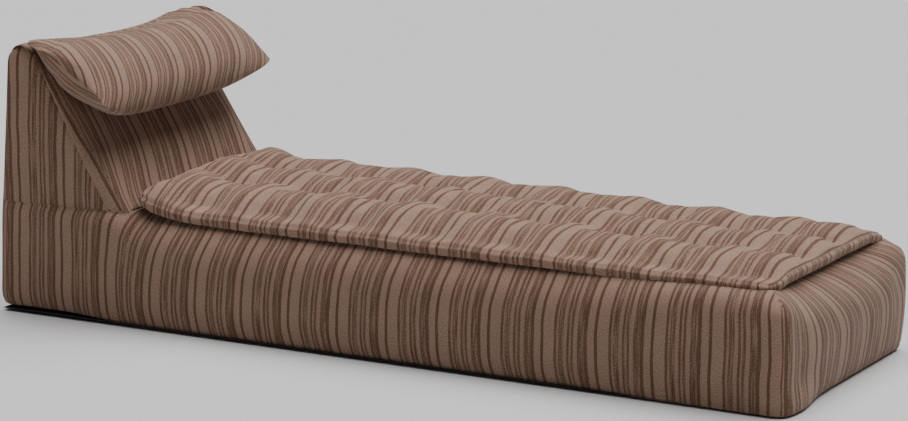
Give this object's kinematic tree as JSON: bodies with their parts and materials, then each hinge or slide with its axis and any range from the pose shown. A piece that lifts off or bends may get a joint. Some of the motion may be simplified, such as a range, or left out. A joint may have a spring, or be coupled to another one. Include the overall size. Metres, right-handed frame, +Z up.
{
  "type": "upholstered daybed",
  "caption": "Low upholstered daybed on a padded base, with a wedge backrest, a head pillow that folds over its ridge and a loose tufted topper, in a woven stripe.",
  "frame": {"origin": "on the floor, under the middle of the whole daybed", "axes": "+X along the bed from the backrest to the foot, +Y across it, +Z up"},
  "size_m": [2.3599, 0.89, 0.7593],
  "materials": {
    "striped_cloth": "woven melange stripe, matt",
    "tuft_thread": "matt linen thread",
    "dust_cloth": "matt non-woven",
    "foam": "matt foam",
    "wadding": "matt polyester wadding",
    "timber": "planed softwood",
    "plywood": "sanded birch plywood",
    "zinc": "zinc-plated",
    "nylon": "moulded nylon"
  },
  "bodies": {
    "base": {"base_cover": "striped_cloth", "back_cover": "striped_cloth", "slope_cover": "striped_cloth", "ridge_flap": "striped_cloth", "dust_cover": "dust_cloth", "glides": "nylon", "base_foam": "foam", "side_rail_near": "timber", "side_rail_far": "timber", "head_rail": "timber", "foot_rail": "timber", "cross_rails": "timber", "corner_blocks": "timber", "deck_panel": "plywood", "back_gussets": "plywood", "back_foot_rails": "timber", "back_slope_rail": "timber", "back_ridge_rail": "timber", "back_slope_board": "plywood", "back_rear_panel": "plywood", "back_bolts": "zinc", "back_nuts": "zinc", "back_pad": "foam", "back_wadding": "wadding"},
    "pillow": {"pillow_cover": "striped_cloth", "pillow_fill": "wadding"},
    "topper": {"topper_top": "striped_cloth", "topper_border": "striped_cloth", "topper_base": "striped_cloth", "topper_core": "foam", "topper_wadding": "wadding", "topper_tufts": "tuft_thread"}
  },
  "joints": [
    {"name": "pillow_fold", "type": "hinge", "parent": "base", "child": "pillow", "pos_m": [-1.08001, 0, 0.75533], "axis": [0, -1, 0], "range_deg": [0, 150]},
    {"name": "topper_lift", "type": "slide", "parent": "base", "child": "topper", "axis": [0, 0, 1], "range_m": [0, 0.3]}
  ]
}
